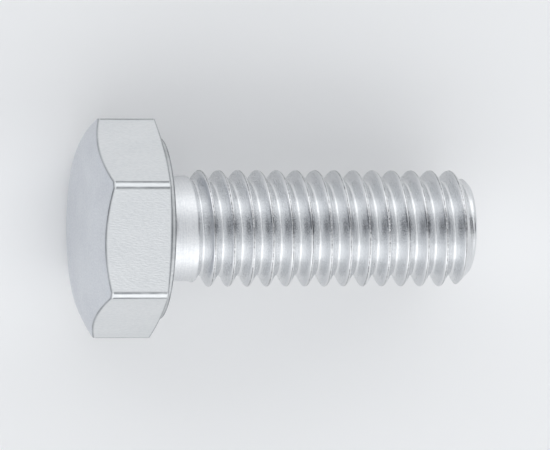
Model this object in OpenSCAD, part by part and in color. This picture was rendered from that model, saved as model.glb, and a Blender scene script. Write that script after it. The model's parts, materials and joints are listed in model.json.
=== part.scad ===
// Hexagon bolt, M6 x 16, threaded almost up to the head.
//
// Frame: the bolt lies along X. The origin is the middle of the bearing face under the
// head, +X runs along the shank to the point, and the head is on the -X side.
// Two of the six flats face +Z and -Z, so two corners lie on the Y axis.
// All sizes are in millimetres.

/* [Head] */
// Width across opposite flats
across_flats = 9.8; // [9.78:0.01:10]
// Width across the blunted corners
across_corners = 11.14; // [11.05:0.01:11.2]
// Height of the head
head_height = 4.1; // [3.8:0.05:4.2]
// Diameter where the top plane and the top chamfer would meet in a sharp edge
crown_d = 8.1; // [7.5:0.1:9]
// Slope of the top chamfer, in degrees
crown_angle = 28; // [20:1:30]
// Radius that rounds the top plane into the top chamfer
crown_round = 2.4; // [1:0.1:3]
// Diameter of the round collar under the head, whose end is the bearing face
bearing_d = 9.2; // [8.9:0.1:9.5]
// Height of that collar
collar_height = 0.24; // [0.15:0.01:0.5]
// Slope of the hexagon's underside outside the collar, in degrees
under_angle = 8; // [0:1:20]

/* [Shank] */
// Length from the bearing face to the point
shank_length = 16; // [12:1:30]
// Diameter of the plain neck, which is the blank that the thread is rolled on
neck_d = 5.34; // [5.3:0.01:5.4]
// Length of the plain neck
neck_length = 1.2; // [0.8:0.1:2]
// Radius of the fillet between the neck and the bearing face
fillet_r = 0.5; // [0.45:0.05:0.6]

/* [Thread] */
// Outer diameter of the thread
major_d = 5.95; // [5.8:0.01:5.97]
// Diameter at the bottom of the groove
root_d = 4.77; // [4.7:0.01:4.85]
// Distance from one ridge to the next
pitch = 1; // [0.75:0.25:1]
// Place along X of a ridge's crest where the ridge crosses +Y
crest_x = 2.065; // [1.6:0.005:2.5]
// Length over which the groove and the ridge grow to full size
runout = 0.6; // [0.4:0.1:1.5]
// How much later than the groove the ridge starts to grow
ridge_delay = 0.25; // [0:0.05:0.5]

/* [Point] */
// Diameter of the flat end
point_d = 4.54; // [4.2:0.02:4.6]
// Angle between the end chamfer and the bolt's axis, in degrees
point_angle = 45; // [30:5:60]

/* [Hidden] */

round_fn = 96;       // smoothness of the exact round faces
arc_steps = 6;       // straight steps in each rounded profile corner
turn_steps = 36;     // flat steps in one turn of the thread
corner_r = across_corners / 2;
neck_r = neck_d / 2;
major_r = major_d / 2;
root_r = root_d / 2;
point_r = point_d / 2;
cut_past = 1;        // how far the hexagonal cutter reaches past each end of the head
embed = 0.5;         // how far the neck reaches into the head
buried = 0.35;       // how far back inside the neck the thread's solid starts
thread_inside = 0.03; // how much thinner than the neck that buried start is
thread_start = neck_length - buried;
start_r = neck_r - thread_inside;

// Rolled profile over one pitch, from one crest to the next: places along the pitch,
// and the share of the full thread depth at each of them
crest_half = 0.07;
root_half = 0.1;
soft = 0.07;
profile_at = [-crest_half, 0, crest_half, 0.5 - root_half, 0.5, 0.5 + root_half];
profile_height = [1 - soft, 1, 1 - soft, soft, 0, soft];
profile_points = len(profile_at);

// Whole turns before the crest at crest_x, so that every column starts inside the neck
first_turn = -ceil((crest_x - thread_start) / pitch) - 2;
last_turn = ceil((shank_length - crest_x) / pitch) + 1;
columns = (last_turn - first_turn) * profile_points;

// Place along X of profile point m at angle step i, before it is held inside the thread
function free_x(i, m) =
    crest_x + pitch * (first_turn + floor(m / profile_points)
                       + profile_at[m % profile_points] + i / turn_steps);

// The same place, held between the buried start and the end face
function held_x(i, m) = min(max(free_x(i, m), thread_start), shank_length);

// Radius of the thread: grows out of the neck along the run-out, the groove first and the
// ridge a little later, and is cut by the end chamfer
function thread_r(x, height) =
    let (full = root_r + height * (major_r - root_r),
         delay = full > start_r ? ridge_delay : 0,
         s = min(max((x - neck_length - delay) / runout, 0), 1),
         grown = s * s * (3 - 2 * s),
         cut = point_r + (shank_length - x) * tan(point_angle))
    min(start_r + (full - start_r) * grown, cut);

// Point m of the profile at angle step i
function thread_point(i, m) =
    let (x = held_x(i, m),
         r = thread_r(x, profile_height[m % profile_points]),
         a = 360 * i / turn_steps)
    [x, r * cos(a), r * sin(a)];

// Columns of step i that lie between the two held ends, as the first and last index used
function first_column(i) =
    max([for (m = [0 : columns - 1]) if (free_x(i, m) <= thread_start) m]);
function last_column(i) =
    min([for (m = [0 : columns - 1]) if (free_x(i, m) >= shank_length) m]);

module along_x() {
    rotate([0, 90, 0]) children();
}

// Round outline of the head, with its crown, its sloping underside and its collar
module head_round() {
    reach = crown_round * tan(crown_angle / 2);
    crown_arc = [for (k = [0 : arc_steps])
        let (a = crown_angle * k / arc_steps)
        [crown_d / 2 - reach + crown_round * sin(a),
         -head_height + crown_round * (1 - cos(a))]];
    rotate_extrude($fn = round_fn)
        polygon(concat(
            [[0, -head_height]],
            crown_arc,
            [[corner_r, -head_height + (corner_r - crown_d / 2) * tan(crown_angle)],
             [corner_r, -collar_height - (corner_r - bearing_d / 2) * tan(under_angle)],
             [bearing_d / 2, -collar_height],
             [bearing_d / 2, 0],
             [0, 0]]));
}

// Hexagonal head: six flats cut into the round outline
module head() {
    along_x()
        intersection() {
            head_round();
            translate([0, 0, -head_height - cut_past])
                rotate([0, 0, 30])
                    cylinder(d = across_flats / cos(30), h = head_height + 2 * cut_past, $fn = 6);
        }
}

// Plain neck with the fillet that joins it to the bearing face
module neck() {
    fillet_arc = [for (k = [0 : arc_steps])
        let (a = 90 * k / arc_steps)
        [neck_r + fillet_r * (1 - sin(a)), fillet_r * (1 - cos(a))]];
    along_x()
        rotate_extrude($fn = round_fn)
            polygon(concat(
                [[0, -embed], [neck_r + fillet_r, -embed]],
                fillet_arc,
                [[neck_r, neck_length], [0, neck_length]]));
}

// Right-hand thread: the profile carried along a helix and closed by two flat ends
module thread() {
    low = [for (i = [0 : turn_steps - 1]) first_column(i)];
    high = [for (i = [0 : turn_steps - 1]) last_column(i)];
    points = [for (i = [0 : turn_steps - 1], m = [0 : columns - 1]) thread_point(i, m)];
    // Step past the last one is step 0 again, one whole turn further on
    function id(i, m) =
        let (j = i % turn_steps,
             n = i < turn_steps ? m : m + profile_points)
        j * columns + min(max(n, low[j]), high[j]);
    sides = [for (i = [0 : turn_steps - 1], m = [0 : columns - 2])
        let (a = id(i, m), b = id(i + 1, m), c = id(i + 1, m + 1), d = id(i, m + 1))
        each [[a, d, b], [b, d, c]]];
    faces = [for (f = sides) if (f[0] != f[1] && f[1] != f[2] && f[2] != f[0]) f];
    start_ring = [for (i = [0 : turn_steps - 1]) id(i, 0)];
    end_ring = [for (i = [turn_steps - 1 : -1 : 0]) id(i, columns - 1)];
    polyhedron(points, concat(faces, [start_ring, end_ring]), convexity = 20);
}

module hex_bolt() {
    color([0.80, 0.82, 0.84])
        union() {
            head();
            neck();
            thread();
        }
}

hex_bolt();
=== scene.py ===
# %% [markdown]
# # A zinc plated hexagon bolt
# The bolt is one piece of steel: a cut length of wire whose end is forged into a
# hexagonal head, and whose shank is squeezed between grooved dies until a thread rises
# out of it. The plating then leaves a thin, bright and slightly bluish skin of zinc.
#
# The functional model gives every main size. Here the same bolt is made again as one
# fine, closed surface, with the soft edges and the rounded thread that rolling leaves.

# %% Load the functional model
import json
import math

import bpy
import numpy as np
from mathutils import Matrix, Vector


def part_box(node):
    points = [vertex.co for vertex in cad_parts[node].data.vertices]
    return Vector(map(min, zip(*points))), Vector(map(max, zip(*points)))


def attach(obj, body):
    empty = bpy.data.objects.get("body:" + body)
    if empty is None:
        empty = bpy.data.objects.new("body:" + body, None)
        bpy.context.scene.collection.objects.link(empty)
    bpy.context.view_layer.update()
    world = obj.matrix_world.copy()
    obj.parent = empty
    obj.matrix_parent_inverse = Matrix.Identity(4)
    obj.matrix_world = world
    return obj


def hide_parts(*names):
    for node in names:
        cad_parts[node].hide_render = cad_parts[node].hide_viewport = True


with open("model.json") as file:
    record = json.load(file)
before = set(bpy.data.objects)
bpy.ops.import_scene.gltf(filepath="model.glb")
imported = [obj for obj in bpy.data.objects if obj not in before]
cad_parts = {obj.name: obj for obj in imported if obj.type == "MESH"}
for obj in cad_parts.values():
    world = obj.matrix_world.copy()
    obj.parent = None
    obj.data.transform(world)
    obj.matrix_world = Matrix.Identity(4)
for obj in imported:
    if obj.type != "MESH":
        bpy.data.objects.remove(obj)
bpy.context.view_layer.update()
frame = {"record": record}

# %% [markdown]
# ## Driving sizes
# The outer sizes are read from the functional model's box, and the thread's radius and
# length from the record's mounts, so those can't drift away from it. The sizes that neither
# of them gives, from the crown to the point, are stated here. Everything in this script is
# worked out in millimetres and turned into metres when a point or a place is made. The
# bolt's axis is X: the head ends at the lowest x, the bearing face is at x = 0 and the point
# is at the highest x.

# %% Sizes in millimetres
MM = 0.001
box_low, box_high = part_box("hex_bolt")
head_height = -box_low[0] / MM
shank_length = box_high[0] / MM
corner_r = box_high[1] / MM
flat_r = box_high[2] / MM

mounts = {mount["name"]: mount for mount in frame["record"]["mounts"]}
major_r = mounts["thread"]["dims"]["r_mm"]
neck_end = shank_length - mounts["thread"]["dims"]["length_mm"]

crown_r = 4.05           # where the top plane and the top chamfer would meet
crown_slope = math.radians(28)
crown_round = 2.4        # radius that rounds the one into the other
bearing_r = 4.6          # round collar under the head, whose end is the bearing face
collar_height = 0.24
under_slope = math.radians(8)   # underside of the hexagon outside the collar
neck_r = 2.67
fillet_r = 0.5
root_r = 2.385
pitch = 1.0
crest_x = 2.065          # a ridge's crest crosses the +Y side here
runout = 0.6             # length over which the groove and the ridge reach full size
ridge_delay = 0.25       # the ridge starts this much later than the groove
point_r = 2.27
point_slope = math.radians(45)
print(f"head {head_height:.2f} high, {2 * flat_r:.2f} over flats, {2 * corner_r:.2f} over corners")
print(f"shank {shank_length:.2f} long, thread {2 * major_r:.2f} x {pitch:.2f} from {neck_end:.2f}")

# %% [markdown]
# ## One grid round the axis
# A bolt could be cut from solids with booleans, but that leaves long thin triangles, and
# shading shows every one of them. Instead the whole skin is one grid. One direction goes
# round the axis, and the other runs from the middle of the head's top, over its edge, down
# the flats, along the shank and the thread, to the middle of the point.
#
# Edges are made soft with a smooth minimum. Where two shapes cut each other, the smaller
# radius wins, and close to the crossing a small parabola takes its place.

# %% Helpers for soft shapes
def smooth_min(a, b, width):
    """Least of a and b. Where they differ by less than width, a parabola joins them:
    min(a, b) minus width/4 times the square of (1 - |a - b| / width)."""
    near = np.clip(1 - np.abs(a - b) / width, 0, 1)
    return np.minimum(a, b) - near * near * width / 4


def smooth_max(a, b, width):
    """Greatest of a and b, softened in the same way."""
    return -smooth_min(-a, -b, width)


def smooth_step(t):
    """0 below 0, 1 above 1, and 3t^2 - 2t^3 between, so it starts and ends level."""
    t = np.clip(t, 0, 1)
    return t * t * (3 - 2 * t)


# %% [markdown]
# The hexagon's corners need more columns than its flats do. A density that peaks at both
# borders of each blunted corner is summed up round the circle, and the columns are placed
# at equal steps of that sum.

# %% Angles of the columns
columns = 210
sector = math.radians(60)
corner_half = sector / 2 - math.acos(flat_r / corner_r)
edge_width = 0.012       # how soft the borders of the blunted corners are


def from_corner(angle):
    """Signed angle to the nearest corner of the hexagon. Corners are at 0, 60, 120 ... degrees."""
    return (angle + sector / 2) % sector - sector / 2


def column_angles(count):
    """Angles of count columns, from +Y towards +Z, crowded at the borders of the corners."""
    fine = np.linspace(0, 2 * math.pi, 72001)
    gap = np.abs(np.abs(from_corner(fine)) - corner_half)
    density = (1 + 14 * np.exp(-(gap / math.radians(0.7)) ** 2)
               + 2 * np.exp(-(gap / math.radians(3)) ** 2))
    total = np.concatenate([[0], np.cumsum((density[1:] + density[:-1]) / 2)])
    return np.interp(np.arange(count) / count * total[-1], total, fine)


head_angles = column_angles(columns)
even_angles = np.arange(columns) * 2 * math.pi / columns
closest = math.degrees(np.diff(head_angles).min())
print("columns", columns, "closest pair", round(closest, 3), "degrees apart")

# %% [markdown]
# ## Head
# Forging leaves a crowned top that runs into a chamfer, six flats with blunted corners, and
# a low round collar underneath, which is all that touches the clamped part. For each
# column the profile is a few key points, and each sharp one is replaced by a short curve
# that starts and ends on its two sides.

# %% Profile of the head, for all columns at once
def hexagon_radius(angle):
    """Distance from the axis to the side of the head. A flat is flat_r / cos(angle from its
    middle), and the corner circle cuts it short."""
    from_middle = sector / 2 - np.abs(from_corner(angle))
    return smooth_min(flat_r / np.cos(from_middle), corner_r, edge_width)


def crown_depth(r):
    """Depth below the top plane at radius r: level, then an arc of crown_round, then a
    straight slope at crown_slope."""
    start = crown_r - crown_round * math.tan(crown_slope / 2)
    along = np.clip(r - start, 0, crown_round * math.sin(crown_slope))
    arc = crown_round - np.sqrt(crown_round ** 2 - along ** 2)
    return arc + np.maximum(r - start - crown_round * math.sin(crown_slope), 0) * math.tan(crown_slope)


def bend(before, key, after, steps):
    """Points of the quadratic curve that leaves before, aims at key and arrives at after:
    (1-t)^2 before + 2t(1-t) key + t^2 after. Each argument is an (x, r) pair of arrays."""
    t = np.linspace(0, 1, steps)[:, None]
    blend = [(1 - t) ** 2, 2 * t * (1 - t), t ** 2]
    return [sum(w * p[axis][None, :] for w, p in zip(blend, (before, key, after))) for axis in (0, 1)]


def head_rings():
    """Stations of the head from the top's middle to the bearing face, as arrays x and r of
    shape (stations, columns), and about how far each point is from the nearest edge."""
    side = hexagon_radius(head_angles)
    ones = np.ones(columns)
    top_x = -head_height + crown_depth(side)
    low_x = -collar_height - (side - bearing_r) * math.tan(under_slope)
    border_gap = np.abs(np.abs(from_corner(head_angles)) - corner_half) * side
    top_soft, low_soft, step_soft, rim_soft = 0.09, 0.06, 0.04, 0.05
    xs, rs, gaps = [], [], []

    def add(x, r, gap):
        xs.append(x)
        rs.append(r)
        gaps.append(gap)

    share = np.concatenate([np.linspace(0.06, 0.74, 9), np.linspace(0.78, 1, 9)])
    for s in share:
        r = s * (side - top_soft)
        add(-head_height + crown_depth(r), r, side - r)
    rim = side - top_soft
    x, r = bend((-head_height + crown_depth(rim), rim), (top_x, side), (top_x + top_soft, side), 8)
    for k in range(1, 8):
        add(x[k], r[k], np.abs(x[k] - top_x) + np.abs(r[k] - side))
    span = low_x - low_soft - (top_x + top_soft)
    for s in np.concatenate([[0.02, 0.05, 0.1], np.linspace(0.18, 0.82, 7), [0.9, 0.95, 0.98]]):
        x = top_x + top_soft + s * span
        add(x, side, np.minimum(np.minimum(x - top_x, low_x - x), border_gap))
    x, r = bend((low_x - low_soft, side),
                (low_x, side),
                (low_x + low_soft * math.sin(under_slope), side - low_soft * math.cos(under_slope)), 6)
    for k in range(6):
        add(x[k], r[k], np.abs(x[k] - low_x) + np.abs(r[k] - side))
    outer = x[-1], r[-1]
    inner = ((-collar_height - step_soft * math.tan(under_slope)) * ones, (bearing_r + step_soft) * ones)
    for s in (0.33, 0.67):
        add(outer[0] + s * (inner[0] - outer[0]), outer[1] + s * (inner[1] - outer[1]), 0.1 * ones)
    x, r = bend(inner,
                (-collar_height * ones, bearing_r * ones),
                ((-collar_height + step_soft) * ones, bearing_r * ones), 5)
    for k in range(5):
        add(x[k], r[k], 0.01 * ones)
    for s in (0.65, 0.35):
        add(-collar_height * s * ones, bearing_r * ones, 0.06 * ones)
    x, r = bend((-rim_soft * ones, bearing_r * ones),
                (0 * ones, bearing_r * ones),
                (0 * ones, (bearing_r - rim_soft) * ones), 5)
    for k in range(5):
        add(x[k], r[k], 0.01 * ones)
    return np.array(xs), np.array(rs), np.array(gaps)


head_x, head_r, head_gap = head_rings()
print(f"head: {len(head_x)} stations, from {head_x.min():.3f} to {head_x.max():.3f} mm")

# %% [markdown]
# Across the bearing face the columns slide from the crowded angles of the head to the even
# ones of the shank. The face is flat, so nothing of that shows. Then a fillet leads into
# the plain neck.

# %% Bearing face, fillet and neck
def fillet_points():
    """Quarter circle from (0, neck_r + fillet_r) to (fillet_r, neck_r), centred on
    (fillet_r, neck_r + fillet_r)."""
    a = np.radians(np.linspace(0, 90, 9)[1:])
    return np.stack([fillet_r * (1 - np.cos(a)), neck_r + fillet_r * (1 - np.sin(a))], axis=1)


face_rings = 7
face_r = np.linspace(bearing_r - 0.2, neck_r + fillet_r, face_rings)
face_points = np.stack([np.zeros(face_rings), face_r], axis=1)
neck_points = np.stack([np.linspace(fillet_r + 0.1, neck_end - 0.05, 5), np.full(5, neck_r)], axis=1)
inner_points = np.concatenate([face_points, fillet_points(), neck_points])
inner_x = np.repeat(inner_points[:, :1], columns, axis=1)
inner_r = np.repeat(inner_points[:, 1:], columns, axis=1)
slide = np.clip(np.arange(len(inner_points)) / (face_rings - 1), 0, 1)[:, None]
inner_angle = head_angles * (1 - slide) + even_angles * slide
ring_x = np.concatenate([head_x, inner_x])
ring_r = np.concatenate([head_r, inner_r])
ring_angle = np.concatenate([np.repeat(head_angles[None, :], len(head_x), axis=0), inner_angle])
print("rings down to the thread:", len(ring_x))

# %% [markdown]
# ## Thread
# A screw modifier could sweep the ridge, but its ends would need patching. Here the
# columns of the grid simply move along X as they go round, one pitch for a whole turn, so
# the ridge always lies along grid lines and never looks stepped. Column lines that reach the
# neck or the point are held there.
#
# The radius comes from a triangle wave with 30 degree flanks. A smooth minimum rounds its
# crest, as rolling does, and a smooth maximum rounds its groove. The metal climbs up both
# flanks of the die and meets at the crest, where it leaves a fine, wandering seam.

# %% Profile of the thread
near_crest = np.array([-0.14, -0.105, -0.08, -0.06, -0.04, -0.02, 0.0, 0.02, 0.04, 0.065, 0.09, 0.13])
down_groove = np.array([0.19, 0.26, 0.33, 0.38, 0.42, 0.46, 0.5, 0.54, 0.58, 0.63, 0.70, 0.78])
profile_at = np.sort(np.concatenate([near_crest % 1.0, down_groove]))
per_pitch = len(profile_at)
seam_at = 0.005          # mean place of the seam along the crest, in pitches
seam_depth = 0.025
seam_width = 0.024
quarter = 0.245          # how far from the crest, in pitches, a flank crosses the middle radius
crest_soft = 0.20        # how wide the crest, the groove and the cut at the point are rounded
root_soft = 0.16
point_soft = 0.05
thread_start = neck_end
thread_end = shank_length - point_soft


def phase(x, angle):
    """Place in the profile: 0 on a crest, 0.5 in the middle of a groove, 1 on the next crest."""
    return ((x - crest_x) / pitch - angle / (2 * math.pi)) % 1.0


def seam_mask(x, angle):
    """Bell exp(-square of the distance over the width) around the seam, which wanders from
    one side of the crest to the other by two slow sines along the helix."""
    place = (phase(x, angle) + 0.5) % 1.0 - 0.5
    along = 2 * math.pi * (x / pitch - place)
    middle = seam_at + 0.022 * np.sin(0.83 * along + 0.6) + 0.012 * np.sin(2.37 * along)
    return np.exp(-((place - middle) / seam_width) ** 2)


def profile_radius(x, angle):
    """Radius of a full, endless thread: a wave with flanks at sqrt(3), softened at both ends,
    less the seam."""
    place = (phase(x, angle) + 0.5) % 1.0 - 0.5
    middle_r = (major_r + root_r) / 2
    wave = middle_r + (quarter * pitch - np.abs(place) * pitch) * math.sqrt(3)
    soft = smooth_max(smooth_min(wave, major_r, crest_soft), root_r, root_soft)
    return soft - seam_depth * seam_mask(x, angle)


def thread_radius(x, angle):
    """Radius of the bolt's thread: it grows out of the neck along the run-out, and the
    point's chamfer cuts it off."""
    rise = profile_radius(x, angle) - neck_r
    delay = ridge_delay * (rise > 0)
    full = neck_r + rise * smooth_step((x - neck_end - delay) / runout)
    cone = point_r + (shank_length - x) * math.tan(point_slope)
    return smooth_min(full, cone, point_soft)


# %% Grid of the thread
def thread_grid():
    """Arrays x, r, angle of shape (columns, places), and the first and last place that each
    column uses. Place m of a column is profile_at of its turn, moved on by angle / 2 pi."""
    first_turn = math.floor((thread_start - crest_x) / pitch) - 2
    last_turn = math.ceil((thread_end - crest_x) / pitch) + 1
    turns = np.repeat(np.arange(first_turn, last_turn), per_pitch)
    places = turns + np.tile(profile_at, last_turn - first_turn)
    free = crest_x + pitch * (places[None, :] + even_angles[:, None] / (2 * math.pi))
    x = np.clip(free, thread_start, thread_end)
    angle = np.repeat(even_angles[:, None], x.shape[1], axis=1)
    low = (free <= thread_start).sum(axis=1) - 1
    high = x.shape[1] - (free >= thread_end).sum(axis=1)
    return x, thread_radius(x, angle), angle, low, high


grid_x, grid_r, grid_angle, low_place, high_place = thread_grid()
print("thread:", grid_x.shape, "points before the ends are held")

# %% [markdown]
# ## Point
# The end face is dished very slightly, as the rolling pushes metal towards the end.

# %% Rings of the point
end_soft = shank_length - thread_end
end_t = np.linspace(0, 1, 6)[1:]
corner_start = np.array([thread_end, point_r + end_soft])
corner_key = np.array([shank_length, point_r])
corner_stop = np.array([shank_length, point_r - end_soft])
end_curve = ((1 - end_t)[:, None] ** 2 * corner_start + (2 * end_t * (1 - end_t))[:, None] * corner_key
             + end_t[:, None] ** 2 * corner_stop)
dish_depth = 0.06        # depth at the middle of the end face
dish_reach = 1.2         # width of the slope that leads down to it
dish_r = (point_r - end_soft) * np.linspace(1, 0, 12)[1:-1]
dish_drop = dish_depth * smooth_step((point_r - end_soft - dish_r) / dish_reach)
dish = np.stack([shank_length - dish_drop, dish_r], axis=1)
end_points = np.concatenate([end_curve, dish])
end_x = np.repeat(end_points[:, :1], columns, axis=1)
end_r = np.repeat(end_points[:, 1:], columns, axis=1)
print("rings of the point:", len(end_points))

# %% [markdown]
# ## Joining the grids
# The points of all three grids go into one list. Quads join neighbours, and a quad that two
# held points have turned into a triangle or a line loses the doubled corners. Two fans
# close the head's top and the point.

# %% Build the closed surface
def ring_faces(index):
    """Quads between neighbouring rings of an index array of shape (rings, columns)."""
    right = np.roll(index, -1, axis=1)
    return np.stack([index[:-1], index[1:], right[1:], right[:-1]], axis=-1).reshape(-1, 4)


def thread_index(first):
    """Point number of every place of every column, with the held places sharing one point.
    One more column is added: the first one again, a whole turn further along."""
    count = high_place - low_place + 1
    offset = first + np.concatenate([[0], np.cumsum(count)[:-1]])
    places = np.arange(grid_x.shape[1])
    held = np.clip(places[None, :], low_place[:, None], high_place[:, None])
    index = offset[:, None] + held - low_place[:, None]
    again = offset[0] + np.clip(places + per_pitch, low_place[0], high_place[0]) - low_place[0]
    used = (places[None, :] >= low_place[:, None]) & (places[None, :] <= high_place[:, None])
    return np.concatenate([index, again[None, :]]), used


def polygons(quads):
    """Quads with doubled corners dropped: triangles where three corners are left."""
    tri_a = quads[quads[:, 0] == quads[:, 1]][:, [1, 2, 3]]
    tri_b = quads[(quads[:, 2] == quads[:, 3]) & (quads[:, 0] != quads[:, 1])][:, [0, 1, 2]]
    whole = quads[(quads[:, 0] != quads[:, 1]) & (quads[:, 2] != quads[:, 3])]
    tri = np.concatenate([tri_a, tri_b])
    tri = tri[(tri[:, 0] != tri[:, 1]) & (tri[:, 1] != tri[:, 2]) & (tri[:, 2] != tri[:, 0])]
    return whole, tri


def to_points(x, r, angle):
    """Point on the surface, in metres: x along the axis, r cos(angle) on Y, r sin(angle) on Z."""
    return np.stack([x, r * np.cos(angle), r * np.sin(angle)], axis=-1).reshape(-1, 3) * MM


ring_index = np.arange(ring_x.size).reshape(ring_x.shape)
screw_index, used = thread_index(ring_x.size)
screw_count = int(used.sum())
end_first = ring_x.size + screw_count
end_index = end_first + np.arange(end_x.size).reshape(end_x.shape)
top_pole = end_first + end_x.size
point_pole = top_pole + 1

points = np.concatenate([
    to_points(ring_x, ring_r, ring_angle),
    to_points(grid_x[used], grid_r[used], grid_angle[used]),
    to_points(end_x, end_r, np.repeat(even_angles[None, :], len(end_x), axis=0)),
    [[-head_height * MM, 0, 0], [(shank_length - dish_depth) * MM, 0, 0]],
])
neck_join = np.stack([ring_index[-1], screw_index[:-1, 0]])
end_join = np.concatenate([screw_index[:-1, -1][None, :], end_index])
screw_quads = np.stack([screw_index[:-1, :-1], screw_index[:-1, 1:],
                        screw_index[1:, 1:], screw_index[1:, :-1]], axis=-1).reshape(-1, 4)
screw_quads, screw_tris = polygons(screw_quads)
quads = np.concatenate([ring_faces(ring_index), ring_faces(neck_join), screw_quads, ring_faces(end_join)])
top_fan = np.stack([np.full(columns, top_pole), ring_index[0], np.roll(ring_index[0], -1)], axis=1)
end_fan = np.stack([np.full(columns, point_pole), np.roll(end_index[-1], -1), end_index[-1]], axis=1)
tris = np.concatenate([screw_tris, top_fan, end_fan])


def signed_volume(verts, tri_list):
    """Sum of the signed volumes of the tetrahedra between the origin and each triangle."""
    a, b, c = (verts[tri_list[:, k]] for k in range(3))
    return float(np.einsum("ij,ij->i", a, np.cross(b, c)).sum() / 6)


all_tris = np.concatenate([quads[:, [0, 1, 2]], quads[:, [0, 2, 3]], tris])
volume = signed_volume(points, all_tris)
if volume < 0:
    quads, tris = quads[:, ::-1], tris[:, ::-1]
print(f"{len(points)} points, {len(all_tris)} triangles, {abs(volume) * 1e9:.1f} cubic mm")

# %% Put the surface into a mesh
def make_mesh(name, verts, quad_list, tri_list):
    """Mesh from whole arrays of points, quads and triangles."""
    mesh = bpy.data.meshes.new(name)
    corners = np.concatenate([quad_list.ravel(), tri_list.ravel()]).astype(np.int32)
    sizes = np.concatenate([np.full(len(quad_list), 4), np.full(len(tri_list), 3)])
    starts = np.concatenate([[0], np.cumsum(sizes)[:-1]]).astype(np.int32)
    mesh.vertices.add(len(verts))
    mesh.vertices.foreach_set("co", verts.astype(np.float32).ravel())
    mesh.loops.add(len(corners))
    mesh.loops.foreach_set("vertex_index", corners)
    mesh.polygons.add(len(sizes))
    mesh.polygons.foreach_set("loop_start", starts)
    mesh.polygons.foreach_set("use_smooth", np.ones(len(sizes), dtype=bool))
    mesh.update(calc_edges=True)
    mesh.validate()
    return mesh


bolt_mesh = make_mesh("hexagon_bolt", points, quads, tris)
bolt = bpy.data.objects.new("hexagon_bolt", bolt_mesh)
bpy.context.scene.collection.objects.link(bolt)
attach(bolt, "root")
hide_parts("hex_bolt")
print("mesh has", len(bolt_mesh.polygons), "faces")

# %% [markdown]
# ## Facts for the finish
# The finish changes over the bolt: shade is painted along the head's edges, in the thread's seam
# and up one flank, crests and grooves are burnished and also painted lighter as a highlight, and the
# rolled surface has streaks that follow the helix. Those facts are known while the shape is worked out,
# so they are stored with the points.
#
# `edge_gap` is about how far, in millimetres, the nearest edge of the head is, and `corner`
# is 1 on the six blunted corners. `rolled` is a place on a small circle for each place in
# the profile, so a pattern read there joins up from ridge to ridge. The circle drifts a
# little with every turn, in one step on the +Y side.
#
# `seam` follows the seam on the crest, where a dark line of painted shade goes, `burnished` is 1 on
# the crest and half that at the root, where the metal is burnished and a lighter colour is painted as a
# highlight, and `painted_flank_shade` grows up the flank that faces the head, as painted shade that
# darkens towards the crest. Those three fade in along the thread's run-out, while `plain`, the neck that
# the die never touched, fades out.

# %% Store the facts
def store(name, kind, values):
    """Write one value, or one vector, for each point of the bolt."""
    field = "value" if kind == "FLOAT" else "vector"
    layer = bolt_mesh.attributes.new(name, kind, "POINT")
    layer.data.foreach_set(field, np.ascontiguousarray(values, dtype=np.float32).ravel())


far = 5.0                # a distance in mm past the reach of every edge line
inner_gap = np.full(inner_x.shape, far)
inner_gap[:face_rings] = np.abs(face_r[:, None] - bearing_r) * np.ones(columns)
other_count = len(points) - ring_x.size
edge_gap = np.concatenate([head_gap.ravel(), inner_gap.ravel(), np.full(other_count, far)])
store("edge_gap", "FLOAT", edge_gap)

from_border = (corner_half - np.abs(from_corner(ring_angle))) * corner_r
on_side = ring_r > hexagon_radius(ring_angle) - 0.01
corner = np.zeros(len(points))
corner[:ring_x.size] = (smooth_step(from_border / 0.05 + 0.5) * on_side).ravel()
store("corner", "FLOAT", corner)

streak_drift = 0.15      # how far the streak pattern moves on with each millimetre of pitch
place_x = points[:, 0] / MM
place_angle = np.arctan2(points[:, 2], points[:, 1]) % (2 * math.pi)
turn = 2 * math.pi * phase(place_x, place_angle)
place = (phase(place_x, place_angle) + 0.5) % 1.0 - 0.5
on_thread = np.zeros(len(points))
on_thread[ring_x.size:end_first] = smooth_step((grid_x[used] - neck_end - ridge_delay) / runout)
crest = np.exp(-(place / 0.06) ** 2)
root = np.exp(-((np.abs(place) - 0.5) / 0.07) ** 2)
# Painted shade up the flank that faces the head, from its root to its crest.
painted_flank_shade = np.where(place < 0, np.clip((place + 0.42) / 0.4, 0, 1), 0)
drift = streak_drift * (place_x - place_angle / (2 * math.pi) * pitch)
rolled = np.stack([np.cos(turn), np.sin(turn), drift], axis=1)
store("rolled", "FLOAT_VECTOR", rolled)
store("seam", "FLOAT", on_thread * seam_mask(place_x, place_angle))
store("burnished", "FLOAT", on_thread * np.maximum(crest, 0.5 * root))
store("painted_flank_shade", "FLOAT", on_thread * painted_flank_shade)
store("plain", "FLOAT", 1 - smooth_step((place_x - neck_end) / runout))
print("facts stored:", [layer.name for layer in bolt_mesh.attributes if not layer.name.startswith(".")])

# %% [markdown]
# ## Effects that the finishes are made of
# A node group is like a function: it is built once, has named inputs and outputs, and every
# material places it with its own values. Only masks and heights come out of these groups,
# and each material keeps its own shader.

# %% Small helpers for nodes
def new_group(name, inputs, outputs):
    """Empty shader group with number sockets. inputs maps a name to its starting value."""
    group = bpy.data.node_groups.new(name, "ShaderNodeTree")
    for label, value in inputs.items():
        socket = group.interface.new_socket(label, in_out="INPUT", socket_type="NodeSocketFloat")
        socket.default_value = value
    for label in outputs:
        group.interface.new_socket(label, in_out="OUTPUT", socket_type="NodeSocketFloat")
    return group, group.nodes.new("NodeGroupInput"), group.nodes.new("NodeGroupOutput")


def place_group(tree, group, **values):
    """Put a group into a tree and set its inputs."""
    node = tree.nodes.new("ShaderNodeGroup")
    node.node_tree = group
    for label, value in values.items():
        node.inputs[label].default_value = value
    return node


def calculate(tree, operation, *terms):
    """Math node. A term is a socket or a number."""
    node = tree.nodes.new("ShaderNodeMath")
    node.operation = operation
    for slot, term in zip(node.inputs, terms):
        if isinstance(term, (int, float)):
            slot.default_value = term
        else:
            tree.links.new(term, slot)
    return node.outputs[0]


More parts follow.
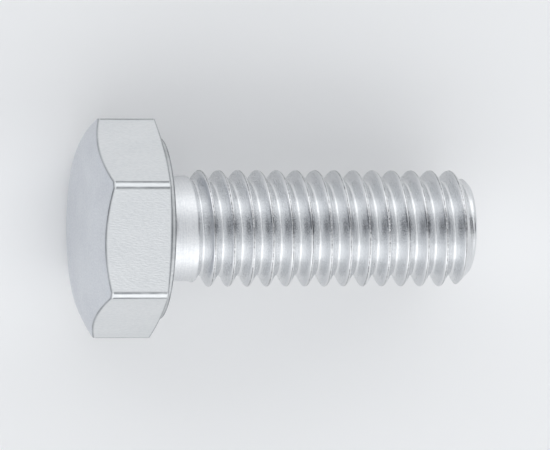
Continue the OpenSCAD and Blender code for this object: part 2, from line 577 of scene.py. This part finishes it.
def remap(tree, value, start, stop, low, high):
    """Smooth step of value from start to stop, giving low to high. Any of them may be a socket."""
    node = tree.nodes.new("ShaderNodeMapRange")
    node.interpolation_type = "SMOOTHSTEP"
    tree.links.new(value, node.inputs["Value"])
    for label, term in zip(("From Min", "From Max", "To Min", "To Max"), (start, stop, low, high)):
        if isinstance(term, (int, float)):
            node.inputs[label].default_value = term
        else:
            tree.links.new(term, node.inputs[label])
    return node.outputs["Result"]


def noise(tree, vector, scale, detail, roughness=0.5):
    """Value of a noise texture at a vector."""
    node = tree.nodes.new("ShaderNodeTexNoise")
    node.inputs["Detail"].default_value = detail
    node.inputs["Roughness"].default_value = roughness
    tree.links.new(vector, node.inputs["Vector"])
    if isinstance(scale, (int, float)):
        node.inputs["Scale"].default_value = scale
    else:
        tree.links.new(scale, node.inputs["Scale"])
    return node.outputs["Fac"]


def blend_colour(tree, factor, low, high):
    """Mix of two colours by a factor. A colour is a tuple or a socket."""
    node = tree.nodes.new("ShaderNodeMix")
    node.data_type = "RGBA"
    tree.links.new(factor, node.inputs["Factor"])
    for label, colour in (("A", low), ("B", high)):
        if isinstance(colour, tuple):
            node.inputs[label].default_value = (*colour, 1)
        else:
            tree.links.new(colour, node.inputs[label])
    return node.outputs["Result"]


# %% [markdown]
# Zinc grows on steel as tiny crystals. On the head they give a fine matt mottling, with
# slow clouds where the plating is a little thicker.

# %% Group: plated grain
def make_plated_grain():
    """Fine grain and slow clouds from noise on object coordinates, both from 0 to 1. Draw is
    how much longer the grain is along the bolt than across it."""
    sizes = {"Grain size mm": 0.08, "Cloud size mm": 1.6, "Draw": 1}
    group, inside, outside = new_group("plated_grain", sizes, ["Grain", "Cloud"])
    split = group.nodes.new("ShaderNodeSeparateXYZ")
    group.links.new(group.nodes.new("ShaderNodeTexCoord").outputs["Object"], split.inputs["Vector"])
    join = group.nodes.new("ShaderNodeCombineXYZ")
    drawn = calculate(group, "DIVIDE", split.outputs["X"], inside.outputs["Draw"])
    for socket, label in ((drawn, "X"), (split.outputs["Y"], "Y"), (split.outputs["Z"], "Z")):
        group.links.new(socket, join.inputs[label])
    place = join.outputs["Vector"]
    for label, size, detail in (("Grain", "Grain size mm", 3), ("Cloud", "Cloud size mm", 4)):
        scale = calculate(group, "DIVIDE", 1 / MM, inside.outputs[size])
        value = noise(group, place, scale, detail)
        group.links.new(remap(group, value, 0.32, 0.68, 0, 1), outside.inputs[label])
    return group


plated_grain = make_plated_grain()

# %% [markdown]
# Along every edge of the head, shade is painted on as a fine dark line.
# Noise makes the line stronger and weaker along its way.

# %% Group: painted edge shade
def make_painted_edge_shade():
    """Mask of painted shade along the head's edges: 1 on an edge, falling to 0 at Width mm
    from it, times an uneven strength."""
    group, inside, outside = new_group("painted_edge_shade", {"Width mm": 0.05, "Unevenness": 0.5}, ["Line"])
    gap = group.nodes.new("ShaderNodeAttribute")
    gap.attribute_name = "edge_gap"
    near = remap(group, gap.outputs["Fac"], 0.0, inside.outputs["Width mm"], 1, 0)
    place = group.nodes.new("ShaderNodeTexCoord").outputs["Object"]
    patchy = remap(group, noise(group, place, 0.9 / MM, 3), 0.3, 0.7, 0, 1)
    weaker = calculate(group, "MULTIPLY", patchy, inside.outputs["Unevenness"])
    strength = calculate(group, "SUBTRACT", 1, weaker)
    group.links.new(calculate(group, "MULTIPLY", near, strength), outside.inputs["Line"])
    return group


painted_edge_shade = make_painted_edge_shade()

# %% [markdown]
# Rolling draws the metal's surface into streaks along the helix. The pattern is read on the
# `rolled` vector, so each streak follows the thread round and round.

# %% Group: rolled streaks
def make_rolled_streaks():
    """Streaks along the helix, from 0 to 1: noise read on the thread's own circle."""
    group, inside, outside = new_group("rolled_streaks", {"Fineness": 6.0}, ["Streak"])
    place = group.nodes.new("ShaderNodeAttribute")
    place.attribute_name = "rolled"
    value = noise(group, place.outputs["Vector"], inside.outputs["Fineness"], 5, 0.65)
    group.links.new(remap(group, value, 0.3, 0.7, 0, 1), outside.inputs["Streak"])
    return group


rolled_streaks = make_rolled_streaks()

# %% [markdown]
# ## Finishes
# Three finishes share one metal. The crowned top, the underside and the end face have the
# smooth skin of forging, and the flats and the collar's side the matt one of trimming. The
# shank has the bright skin of rolling, made rougher on the plain neck.

# %% Finishes
def new_metal(name, roughness):
    """Material with a bare metal shader and a bump node that feeds its normal."""
    material = bpy.data.materials.new(name)
    material.use_nodes = True
    tree = material.node_tree
    shader = tree.nodes["Principled BSDF"]
    shader.inputs["Metallic"].default_value = 1
    shader.inputs["Roughness"].default_value = roughness
    bump = tree.nodes.new("ShaderNodeBump")
    bump.inputs["Distance"].default_value = 0.01 * MM
    tree.links.new(bump.outputs["Normal"], shader.inputs["Normal"])
    return material, tree, shader, bump


def own_mask(tree, name):
    """One of the mesh's own facts, as a value from 0 to 1."""
    node = tree.nodes.new("ShaderNodeAttribute")
    node.attribute_name = name
    return node.outputs["Fac"]


def head_finish(name, light, cloudy, roughness, grain_size, draw):
    """Matt zinc on forged steel: grain and clouds in colour, grain in gloss and bump, smoother
    corners, and painted shade as dark lines along the edges."""
    material, tree, shader, bump = new_metal(name, roughness)
    grain = place_group(tree, plated_grain,
                        **{"Grain size mm": grain_size, "Cloud size mm": 1.5, "Draw": draw})
    line = place_group(tree, painted_edge_shade, **{"Width mm": 0.11, "Unevenness": 0.35})
    mottled = calculate(tree, "ADD", calculate(tree, "MULTIPLY", grain.outputs["Grain"], 0.5),
                        calculate(tree, "MULTIPLY", grain.outputs["Cloud"], 0.5))
    colour = blend_colour(tree, mottled, light, cloudy)
    is_corner = own_mask(tree, "corner")
    burnished = blend_colour(tree, is_corner, colour, (0.71, 0.725, 0.735))
    # Painted shade: a dark line along every edge of the head.
    dark = calculate(tree, "MULTIPLY", line.outputs["Line"], 0.9)
    edge_shaded_colour = blend_colour(tree, dark, burnished, (0.16, 0.17, 0.18))
    tree.links.new(edge_shaded_colour, shader.inputs["Base Color"])
    gloss = calculate(tree, "MULTIPLY_ADD", grain.outputs["Grain"], 0.12, roughness - 0.06)
    smoother = calculate(tree, "MULTIPLY_ADD", is_corner, -0.08, gloss)
    tree.links.new(smoother, shader.inputs["Roughness"])
    tree.links.new(grain.outputs["Grain"], bump.inputs["Height"])
    bump.inputs["Strength"].default_value = 0.6
    return material


def thread_finish(name):
    """Bright rolled zinc: streaks along the helix, burnished crests and roots painted lighter as a
    highlight, painted shade up the flank towards the head and in a dark, broken seam, and a rougher neck."""
    material, tree, shader, bump = new_metal(name, 0.25)
    streaks = place_group(tree, rolled_streaks, **{"Fineness": 5.0})
    grain = place_group(tree, plated_grain,
                        **{"Grain size mm": 0.09, "Cloud size mm": 1.2, "Draw": 1})
    mottled = calculate(tree, "ADD", calculate(tree, "MULTIPLY", streaks.outputs["Streak"], 0.55),
                        calculate(tree, "MULTIPLY", grain.outputs["Grain"], 0.45))
    colour = blend_colour(tree, mottled, (0.80, 0.805, 0.81), (0.67, 0.685, 0.705))
    # Painted shade: the flank that faces the head gets darker towards its crest.
    flank_shade_amount = calculate(tree, "MULTIPLY", own_mask(tree, "painted_flank_shade"), 0.38)
    shaded = blend_colour(tree, flank_shade_amount, colour, (0.45, 0.47, 0.50))
    # Burnished crests and roots: smoother, and also painted lighter as a highlight.
    burnished = own_mask(tree, "burnished")
    burnish_and_highlight = blend_colour(tree, burnished, shaded, (0.82, 0.825, 0.83))
    # Painted shade in the seam's crease: a near black line, broken up by the grain.
    broken = calculate(tree, "MULTIPLY_ADD", grain.outputs["Grain"], -0.9, 1.15)
    dark = calculate(tree, "MULTIPLY", own_mask(tree, "seam"), broken)
    seam_shaded_colour = blend_colour(tree, dark, burnish_and_highlight, (0.05, 0.055, 0.07))
    tree.links.new(seam_shaded_colour, shader.inputs["Base Color"])
    gloss = calculate(tree, "MULTIPLY_ADD", mottled, 0.14, 0.17)
    smoother = calculate(tree, "MULTIPLY_ADD", burnished, -0.06, gloss)
    drawn = calculate(tree, "MULTIPLY_ADD", own_mask(tree, "plain"), 0.15, smoother)
    tree.links.new(drawn, shader.inputs["Roughness"])
    tree.links.new(mottled, bump.inputs["Height"])
    bump.inputs["Strength"].default_value = 0.6
    return material


finishes = [
    head_finish("zinc_on_crown", (0.70, 0.72, 0.75), (0.635, 0.655, 0.695), 0.42, 0.09, 1),
    head_finish("zinc_on_flats", (0.76, 0.77, 0.775), (0.70, 0.715, 0.725), 0.45, 0.07, 3),
    thread_finish("zinc_on_thread"),
]
for material in finishes:
    bolt_mesh.materials.append(material)

# %% Give every face its finish
def face_finish(mesh):
    """Number of each face's finish, from its middle and its direction: the shank lies past
    the bearing face, the normals of the flats and of the collar's side are square to the
    axis, and the end face looks along it."""
    count = len(mesh.polygons)
    middle = np.empty(count * 3, dtype=np.float32)
    normal = np.empty(count * 3, dtype=np.float32)
    mesh.polygons.foreach_get("center", middle)
    mesh.polygons.foreach_get("normal", normal)
    middle, normal = middle.reshape(-1, 3), normal.reshape(-1, 3)
    on_head = middle[:, 0] < 0.02 * MM
    on_end = (middle[:, 0] > (shank_length - 0.1) * MM) & (normal[:, 0] > 0.85)
    flat = on_head & (np.abs(normal[:, 0]) < 0.3)
    return np.where(flat, 1, np.where(on_head | on_end, 0, 2)).astype(np.int32)


bolt_mesh.polygons.foreach_set("material_index", face_finish(bolt_mesh))
print("finishes:", [material.name for material in finishes])

# %% [markdown]
# ## Floor, light and camera
# The bolt lies on a pale floor in a light tent, between two long soft lights, one along
# each side. A line of sight that falls into the thread's groove bounces from one flank to
# the next and leaves towards an end of the tent. The ends are open and dark, and that shows
# as the dark band along the middle of the thread.

# %% Floor
def make_floor(height):
    """Large pale square that the bolt lies on."""
    half = 3.0
    mesh = bpy.data.meshes.new("floor")
    corners = [(-half, -half, height), (half, -half, height), (half, half, height), (-half, half, height)]
    mesh.from_pydata(corners, [], [(0, 1, 2, 3)])
    material = bpy.data.materials.new("pale_floor")
    material.use_nodes = True
    shader = material.node_tree.nodes["Principled BSDF"]
    shader.inputs["Base Color"].default_value = (0.9, 0.9, 0.9, 1)
    shader.inputs["Roughness"].default_value = 0.9
    mesh.materials.append(material)
    floor = bpy.data.objects.new("floor", mesh)
    bpy.context.scene.collection.objects.link(floor)


floor_gap = 0.01         # the floor lies this far below the lowest flat, so they never coincide
make_floor(box_low[2] - floor_gap * MM)

# %% Lights
bolt_middle = Vector((6, 0, 0)) * MM     # about half way along the bolt


def soft_light(name, direction, distance, size, power):
    """Rectangular lamp that looks at the bolt's middle from a direction."""
    lamp = bpy.data.lights.new(name, "AREA")
    lamp.shape = "RECTANGLE"
    lamp.size, lamp.size_y = size
    lamp.energy = power
    holder = bpy.data.objects.new(name, lamp)
    towards = Vector(direction).normalized()
    place = bolt_middle + towards * distance
    side = Vector((1, 0, 0))
    up = towards.cross(side).normalized()
    side = up.cross(towards)
    turn_to = Matrix((side, up, towards)).transposed().to_4x4()
    holder.matrix_world = Matrix.Translation(place) @ turn_to
    bpy.context.scene.collection.objects.link(holder)


def around_x(degrees):
    """Direction in the YZ plane, measured from +Z towards +Y."""
    return (0, math.sin(math.radians(degrees)), math.cos(math.radians(degrees)))


soft_light("back_light", around_x(62), 0.5, (0.9, 0.3), 0.41)
soft_light("front_light", around_x(-55), 0.5, (0.9, 0.42), 0.70)


def tunnel_world():
    """Light tent open at both ends: pale all round, and dark where a direction points to
    either end of the bolt, above the horizon and a little towards +Y. Each of the three
    masks is a smooth step of one part of the direction, and the opening is their product."""
    world = bpy.data.worlds.new("light_tent")
    world.use_nodes = True
    tree = world.node_tree
    place = tree.nodes.new("ShaderNodeTexCoord")
    split = tree.nodes.new("ShaderNodeSeparateXYZ")
    tree.links.new(place.outputs["Generated"], split.inputs["Vector"])
    along = remap(tree, calculate(tree, "ABSOLUTE", split.outputs["X"]), 0.34, 0.52, 0, 1)
    sideways = calculate(tree, "SUBTRACT", split.outputs["Y"], 0.17)
    middle = remap(tree, calculate(tree, "ABSOLUTE", sideways), 0.16, 0.38, 1, 0)
    above = remap(tree, split.outputs["Z"], 0.02, 0.18, 0, 1)
    opening = calculate(tree, "MULTIPLY", calculate(tree, "MULTIPLY", along, middle), above)
    colour = blend_colour(tree, opening, (0.955, 0.975, 1.0), (0.03, 0.035, 0.05))
    background = tree.nodes["Background"]
    tree.links.new(colour, background.inputs["Color"])
    background.inputs["Strength"].default_value = 1.0
    bpy.context.scene.world = world


tunnel_world()
# Bright metal needs its contrast. The default view transform bends highlights down into
# grey, so the plain one is used.
bpy.context.scene.view_settings.view_transform = "Standard"
print("lights:", [item.name for item in bpy.data.lights], "world:", bpy.context.scene.world.name)

# %% [markdown]
# The camera looks down on the bolt from about 30 centimetres, a little from the head's end
# and a little from its +Y side, with +Y upwards in the picture.

# %% Camera
def make_camera():
    """Camera above the bolt. tilt turns it towards the head's end, lean towards +Y."""
    tilt, lean = math.radians(12.2), math.radians(7.1)
    distance = 0.305
    view_width = 27.919 * MM     # width of what the camera sees at the bolt
    back = Vector((-math.sin(tilt), math.cos(tilt) * math.sin(lean), math.cos(tilt) * math.cos(lean)))
    right = Vector((0, math.cos(lean), -math.sin(lean))).cross(back).normalized()
    up = back.cross(right)
    camera = bpy.data.cameras.new("camera")
    camera.sensor_width = 36
    camera.lens = camera.sensor_width * distance / view_width
    camera.clip_start = 0.01
    holder = bpy.data.objects.new("camera", camera)
    aim = bolt_middle + up * 0.17 * MM
    rotation = Matrix((right, up, back)).transposed().to_4x4()
    holder.matrix_world = Matrix.Translation(aim + back * distance) @ rotation
    bpy.context.scene.collection.objects.link(holder)
    bpy.context.scene.camera = holder
    print("camera lens", round(camera.lens, 1), "mm")


make_camera()
